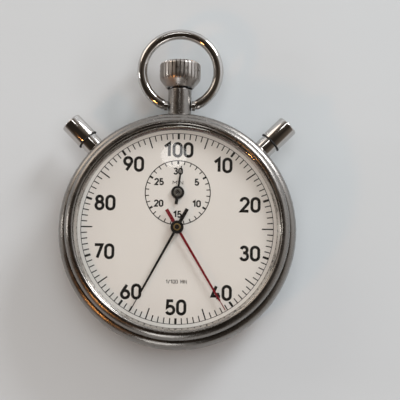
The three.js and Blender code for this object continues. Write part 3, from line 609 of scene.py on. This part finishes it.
def add_bow(materials):
    """Ring of round wire, open at the pendant, whose ends turn in on two short pins."""
    gap = math.asin(BOW_END_GAP / BOW_RADIUS)
    steps = 120
    angles = [-math.pi / 2 + gap + (math.tau - 2 * gap) * i / steps for i in range(steps + 1)]
    points = [
        Vector((BOW_RADIUS * math.cos(a), BOW_CENTRE + BOW_RADIUS * math.sin(a), STEM_HEIGHT))
        for a in angles
    ]
    end_rounding = [0.72, 0.9, 0.98]
    middle = [1.0] * (len(points) - 2 * len(end_rounding))
    radii = [BOW_WIRE * share for share in end_rounding + middle + end_rounding[::-1]]
    pin = (0.55, 2.1, BOW_END_GAP)
    collar = (BOW_WIRE * 0.96, 2.85, BOW_END_GAP + 0.3)

    def build(bm):
        add_sweep(bm, points, radii, BOW_SIDES)
        for side in (-1, 1):
            for radius, start, stop in (pin, collar):
                ends = [Vector((side * x, BOW_PIN_HEIGHT, STEM_HEIGHT)) for x in (start, stop)]
                add_sweep(bm, ends, [radius, radius], BOW_SIDES)

    piece("bow_look", build, materials["chrome"], "bow_ring", ["bow"])


def pusher_cap_outline():
    ceiling = SEAL_BOTTOM + 2.4
    return rounded([
        (0, PUSHER_STEM_END, 0), (PUSHER_STEM_RADIUS, PUSHER_STEM_END, 0), (PUSHER_STEM_RADIUS, ceiling, 0),
        (PUSHER_BORE, ceiling, 0), (PUSHER_BORE, SEAL_TOP, 0), (PUSHER_RADIUS, SEAL_TOP, 0.06),
        (PUSHER_RADIUS, PUSHER_TOP, 0.4), (0, PUSHER_TOP, 0),
    ])


def pusher_seal_outline():
    return rounded([
        (PUSHER_BORE, SEAL_BOTTOM, 0), (SEAL_RADIUS, SEAL_BOTTOM, 0.12), (SEAL_RADIUS, SEAL_TOP, 0.12),
        (PUSHER_BORE, SEAL_TOP, 0),
    ])


def pusher_sleeve_outline():
    """Tube with a narrow bore for the stem below and a wide one for the spring above."""
    top = SEAL_BOTTOM + 0.5
    narrow, wide, step = 1.05, 1.6, 25.9
    return rounded([
        (narrow, SLEEVE_FOOT, 0), (SLEEVE_RADIUS, SLEEVE_FOOT, 0), (SLEEVE_RADIUS, top, 0.1),
        (wide, top, 0.05), (wide, step, 0), (narrow, step, 0),
    ])


def pusher_pad_outline():
    """Raised ring on the band that the sleeve stands in."""
    radius, foot, top = 3.1, 25.6, 27.4
    return rounded([
        (SLEEVE_RADIUS, foot, 0), (radius, foot, 0), (radius, top, 0.12), (SLEEVE_RADIUS, top, 0),
    ])


def add_pushers(materials):
    for side, angle in PUSHER_ANGLES.items():
        place = radial_place(angle)
        parts = [
            ("cap", pusher_cap_outline(), "chrome", f"{side}_pusher", [f"{side}_pusher_cap"]),
            ("seal", pusher_seal_outline(), "seal_rubber", f"{side}_pusher", [f"{side}_pusher_seal"]),
            ("sleeve", pusher_sleeve_outline(), "chrome", "case", [f"{side}_pusher_sleeve"]),
            ("pad", pusher_pad_outline(), "chrome", "case", []),
        ]
        for part, outline, slot, body, replaced in parts:
            name = f"{side}_pusher_{part}_look"
            turned_piece(name, outline, materials[slot], body, replaced, place, SMALL_SEGMENTS)


# Dial ---------------------------------------------------------------------------------------------


def arc(x, y, radius, start, stop, steps=18):
    """Points round a centre between two angles in degrees."""
    angles = [math.radians(start + (stop - start) * i / steps) for i in range(steps + 1)]
    return [(x + radius * math.cos(a), y + radius * math.sin(a)) for a in angles]


def loop(x, y, radius):
    return arc(x, y, radius, 0, 345, 23)


GLYPH_WIDTH = {"1": 0.42, "I": 0.0, "M": 0.66, "N": 0.54, "/": 0.4, " ": 0.3}
DIGIT_WIDTH = 0.56
GLYPH_GAP = 0.277


def glyph(character):
    """Strokes of a character one unit high, as (points, closed), with its left edge at zero."""
    six_tail = [(0.40, 1.0), (0.042, 0.43)]
    shapes = {
        "0": [(arc(0.28, 0.72, 0.28, 0, 180) + arc(0.28, 0.28, 0.28, 180, 360), True)],
        "1": [([(0.0, 0.74), (0.34, 1.0), (0.34, 0.0)], False)],
        "2": [(arc(0.28, 0.72, 0.28, 175, -38) + [(0.03, 0.0), (0.58, 0.0)], False)],
        "3": [
            (arc(0.28, 0.77, 0.23, 165, -90) + [(0.2, 0.54)], False),
            ([(0.2, 0.542)] + arc(0.28, 0.27, 0.27, 90, -165), False),
        ],
        "4": [([(0.32, 1.0), (0.0, 0.24), (0.62, 0.24)], False), ([(0.44, 0.5), (0.44, 0.0)], False)],
        "5": [([(0.5, 1.0), (0.09, 1.0), (0.06, 0.51)] + arc(0.27, 0.3, 0.295, 125, -155), False)],
        "6": [(six_tail, False), (loop(0.28, 0.28, 0.28), True)],
        "7": [([(0.0, 1.0), (0.56, 1.0), (0.2, 0.0)], False)],
        "8": [(loop(0.28, 0.775, 0.225), True), (loop(0.28, 0.275, 0.275), True)],
        "9": [
            ([(0.56 - x, 1 - y) for x, y in six_tail], False),
            (loop(0.28, 0.72, 0.28), True),
        ],
        "M": [([(0.0, 0.0), (0.0, 1.0), (0.33, 0.35), (0.66, 1.0), (0.66, 0.0)], False)],
        "I": [([(0.0, 0.0), (0.0, 1.0)], False)],
        "N": [([(0.0, 0.0), (0.0, 1.0), (0.54, 0.0), (0.54, 1.0)], False)],
        "/": [([(0.0, -0.08), (0.4, 1.08)], False)],
        " ": [],
    }
    return shapes[character]


def add_stroke(bm, points, closed, width, height):
    """Line of even width with mitred corners, raised from the dial by its height."""
    bottom, top = DIAL_TOP, DIAL_TOP + height
    rings = []
    last = len(points) - 1
    for i, point in enumerate(points):
        directions = []
        if i > 0 or closed:
            directions.append((point - points[i - 1]).normalized())
        if i < last or closed:
            directions.append((points[(i + 1) % len(points)] - point).normalized())
        along = sum(directions, Vector((0, 0))).normalized()
        half = width / 2 / max(0.45, along.dot(directions[0]))
        side = Vector((-along.y, along.x)) * half
        left, right = point + side, point - side
        corners = [(left, bottom), (left, top), (right, top), (right, bottom)]
        rings.append([bm.verts.new((p.x, p.y, level)) for p, level in corners])
    if closed:
        add_loop_skin(bm, rings)
    else:
        add_capped_skin(bm, rings)


def add_text(bm, text, x, y, height, stroke, stretch=1.0):
    """Text centred on a point of the dial, height being over the outside of the strokes."""
    unit = height - stroke
    across = unit * stretch
    widths = [GLYPH_WIDTH.get(character, DIGIT_WIDTH) for character in text]
    left = x - across * (sum(widths) + GLYPH_GAP * (len(text) - 1)) / 2
    for character, width in zip(text, widths):
        for layer, (points, closed) in enumerate(glyph(character)):
            line = [Vector((left + px * across, y + (py - 0.5) * unit)) for px, py in points]
            add_stroke(bm, line, closed, stroke, PRINT_HEIGHT + layer * LAYER_STEP)
        left += across * (width + GLYPH_GAP)


def around(centre_y, radius, turn):
    """Point a share of a turn clockwise from 12 o'clock."""
    angle = math.tau * turn
    return Vector((radius * math.sin(angle), centre_y + radius * math.cos(angle)))


def add_tick(bm, centre_y, turn, outer, length, width):
    ends = [around(centre_y, outer, turn), around(centre_y, outer - length, turn)]
    add_stroke(bm, ends, False, width, PRINT_HEIGHT)


def add_circle_line(bm, centre_y, radius, width):
    steps = 180
    points = [around(centre_y, radius, i / steps) for i in range(steps)]
    add_stroke(bm, points, True, width, PRINT_HEIGHT + 1.5 * LAYER_STEP)


def add_main_scale(bm):
    """Hundredths of a minute: a tick for each, a number for every ten."""
    for i in range(100):
        tick = TEN_TICK if i % 10 == 0 else FIVE_TICK if i % 5 == 0 else PLAIN_TICK
        add_tick(bm, 0, i / 100, TRACK_RADIUS, *tick)
    add_circle_line(bm, 0, TRACK_RADIUS, 0.13)
    for i in range(1, 11):
        turn = around(0, 1, i / 10)
        x, y = turn.x * NUMERAL_RADII[0], turn.y * NUMERAL_RADII[1]
        add_text(bm, str(10 * i), x, y, NUMERAL_HEIGHT, NUMERAL_STROKE)
    add_text(bm, "1/100 MIN", 0, CAPTION_Y, 0.9, 0.13)


def add_counter_scale(bm):
    """Thirty minutes, with a number for every five."""
    for i in range(COUNTER_MINUTES):
        width = 0.45 if i % 5 == 0 else 0.22
        add_tick(bm, COUNTER_Y, i / COUNTER_MINUTES, COUNTER_RADIUS, 0.86, width)
    add_circle_line(bm, COUNTER_Y, COUNTER_RADIUS, 0.2)
    for i in range(1, 7):
        place = around(COUNTER_Y, COUNTER_NUMERAL_RADIUS, i / 6)
        add_text(bm, str(5 * i), place.x, place.y, 1.67, 0.34)
    add_text(bm, "MIN", 0, COUNTER_Y + 2.35, 0.86, 0.13, 1.8)


def add_dial_print(materials):
    piece("main_scale", add_main_scale, materials["black_lacquer"], "case")
    piece("counter_scale", add_counter_scale, materials["black_lacquer"], "case")


# Hands --------------------------------------------------------------------------------------------


def hand_outline(length, bar, width, needle, tail, tail_width):
    """Half widths up the hand: a broad tail, a bar that narrows, then a fine needle."""
    right = [
        (tail_width / 2, -tail), (tail_width / 2, -0.6), (width / 2, 0.6), (width * 0.36, bar),
        (needle / 2, bar + 0.1), (needle / 2, length),
    ]
    return right + [(-x, y) for x, y in reversed(right)]


def add_hand(name, material, body, centre_y, turn, outline, level, hub):
    """Flat hand between two levels, with a turned hub given as (radius, bore, bottom, top)."""
    radius, bore, bottom, top = hub
    boss = rounded([(bore, bottom, 0), (radius, bottom, 0), (radius, top, 0.1), (bore, top, 0.04)])

    def build(bm):
        add_prism(bm, outline, *level)
        add_lathe(bm, boss, SMALL_SEGMENTS)

    place = Matrix.Translation((0, centre_y * MM, 0)) @ Matrix.Rotation(-math.tau * turn, 4, "Z")
    piece(f"{name}_look", build, material, body, [name], place)


def add_hub(name, material, well_material, body, centre_y, bottom, radius, bore):
    """Raised metal ring on a hand's hub, round a dark countersunk centre."""
    place = Matrix.Translation((0, centre_y * MM, 0))
    top = bottom + COLLAR_HEIGHT
    collar = rounded([(bore, bottom, 0), (radius, bottom, 0), (radius, top, 0.05), (bore, top, 0.03)])
    turned_piece(f"{name}_collar", collar, material, body, (), place, SMALL_SEGMENTS)
    well = [(0, bottom), (bore, bottom), (bore, top - 0.03), (0.12, bottom + 0.03), (0, bottom + 0.03)]
    turned_piece(f"{name}_well", well, well_material, body, (), place, SMALL_SEGMENTS)


def add_hands(materials):
    """The sweep hand runs above the split hand, and both above the minute hand."""
    black, red = materials["black_lacquer"], materials["red_lacquer"]
    brass, nickel = materials["gilt_brass"], materials["nickel_plate"]
    sweep = hand_outline(bar=16.8, **LONG_HAND)
    split = hand_outline(bar=19.3, **LONG_HAND)
    minute = hand_outline(bar=4.2, **SHORT_HAND)
    sweep_level, sweep_hub = (14.65, 14.85), (1.5, 0.85, 14.6, 15.1)
    split_level, split_hub = (14.15, 14.35), (1.35, 1.05, 14.05, 14.45)
    minute_level, minute_hub = (13.65, 13.82), (1.5, 0.5, 13.6, 13.95)
    minute_body = "minute_hand_body"
    add_hand("sweep_hand", black, "sweep_body", 0, SWEEP_TURN, sweep, sweep_level, sweep_hub)
    add_hand("split_hand", red, "split_body", 0, SPLIT_TURN, split, split_level, split_hub)
    add_hand("minute_hand", black, minute_body, COUNTER_Y, MINUTE_TURN, minute, minute_level, minute_hub)
    add_hub("sweep", brass, black, "sweep_body", 0, 15.13, 0.82, 0.54)
    add_hub("minute", nickel, black, minute_body, COUNTER_Y, 13.93, 0.95, 0.45)


# Frame, stage and camera --------------------------------------------------------------------------


def paint_frame(frame, materials):
    """Gives every CAD node the material of its slot in the record."""
    for part in frame["record"]["subparts"]:
        node = frame["nodes"][part["node"]]
        node.data.materials.clear()
        node.data.materials.append(materials[part["material_slot"]])


def add_floor():
    half = FLOOR_HALF * MM
    mesh = bpy.data.meshes.new("floor")
    corners = [(-half, -half, 0), (half, -half, 0), (half, half, 0), (-half, half, 0)]
    mesh.from_pydata(corners, [], [(0, 1, 2, 3)])
    mesh.materials.append(floor_material())
    floor = bpy.data.objects.new("floor", mesh)
    floor.location.z = -FLOOR_DROP * MM
    bpy.context.scene.collection.objects.link(floor)


def add_soft_light(name, place, size, power, colour=(1, 1, 1)):
    """Round area light at a place in metres, turned towards the middle of the case back."""
    data = bpy.data.lights.new(name, "AREA")
    data.shape = "DISK"
    data.size = size
    data.energy = power
    data.color = colour
    light = bpy.data.objects.new(name, data)
    light.location = place
    light.rotation_euler = (-Vector(place)).to_track_quat("-Z", "Y").to_euler()
    bpy.context.scene.collection.objects.link(light)
    return light


def add_room():
    """World that is pale near the horizon and dark brown overhead, with soft uneven patches."""
    world = bpy.data.worlds.new("room")
    world.use_nodes = True
    bpy.context.scene.world = world
    room = Nodes(world.node_tree)
    direction = room.add("ShaderNodeTexCoord").outputs["Generated"]
    upward = room.add("ShaderNodeVectorMath", operation="DOT_PRODUCT")
    room.link(direction, upward.inputs[0])
    upward.inputs[1].default_value = DARK_SIDE
    patches = room.noise(direction, 1.6, detail=1.0)
    uneven = room.math("MULTIPLY_ADD", patches, 0.7, upward.outputs["Value"])
    stops = [
        (0.0, (0.95, 0.97, 1.0)), (0.28, (0.62, 0.60, 0.58)),
        (0.5, (0.15, 0.12, 0.095)), (0.85, (0.035, 0.028, 0.022)),
    ]
    background = room.tree.nodes["Background"]
    room.link(room.ramp(room.math("SUBTRACT", uneven, 0.35), stops), background.inputs["Color"])
    background.inputs["Strength"].default_value = 0.9


def add_lights():
    """Three windows, a lamp, a panel seen in the crystal, a warm wall, and a fill with no reflection."""
    add_soft_light("window", (0.55, 0.69, 0.44), 0.34, 5.0, (0.95, 0.97, 1.0))
    add_soft_light("front_window", (-0.15, -0.92, 0.40), 0.34, 1.3, (0.97, 0.99, 1.0))
    add_soft_light("left_window", (-0.95, 0.15, 0.28), 0.12, 0.5, (1.0, 0.99, 0.97))
    add_soft_light("lamp", (-0.46, -0.36, 0.45), 0.08, 0.6, (1.0, 0.42, 0.12))
    add_soft_light("panel", (-0.03, 0.40, 0.80), 0.10, 0.12)
    add_soft_light("warm_wall", (-0.58, 0.60, 0.40), 0.50, 1.1, (1.0, 0.86, 0.72))
    fill = add_soft_light("fill", (0.10, 0.10, 1.2), 1.2, 6.8, (0.98, 0.99, 1.0))
    fill.visible_glossy = False


def add_camera():
    """Camera leaning a little towards the foot of the dial, as the photographer held it."""
    aim = Vector(VIEW_AIM) * MM
    backward = Vector((0, -math.sin(VIEW_LEAN), math.cos(VIEW_LEAN)))
    up = Vector((-math.sin(VIEW_ROLL), math.cos(VIEW_ROLL), 0))
    right = up.cross(backward).normalized()
    up = backward.cross(right)
    data = bpy.data.cameras.new("camera")
    data.angle = 2 * math.atan(VIEW_WIDTH / 2 / VIEW_DISTANCE)
    data.clip_start = 0.01
    camera = bpy.data.objects.new("camera", data)
    turn = Matrix((right, up, backward)).transposed().to_4x4()
    camera.matrix_world = Matrix.Translation(aim + backward * VIEW_DISTANCE * MM) @ turn
    bpy.context.scene.collection.objects.link(camera)
    bpy.context.scene.camera = camera


def main():
    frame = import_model()
    materials = make_materials()
    paint_frame(frame, materials)
    add_case(materials)
    add_pendant(materials)
    add_crown(materials)
    add_bow(materials)
    add_pushers(materials)
    add_dial_print(materials)
    add_hands(materials)
    add_floor()
    add_room()
    add_lights()
    add_camera()
    bpy.context.scene.view_settings.view_transform = "Standard"


main()
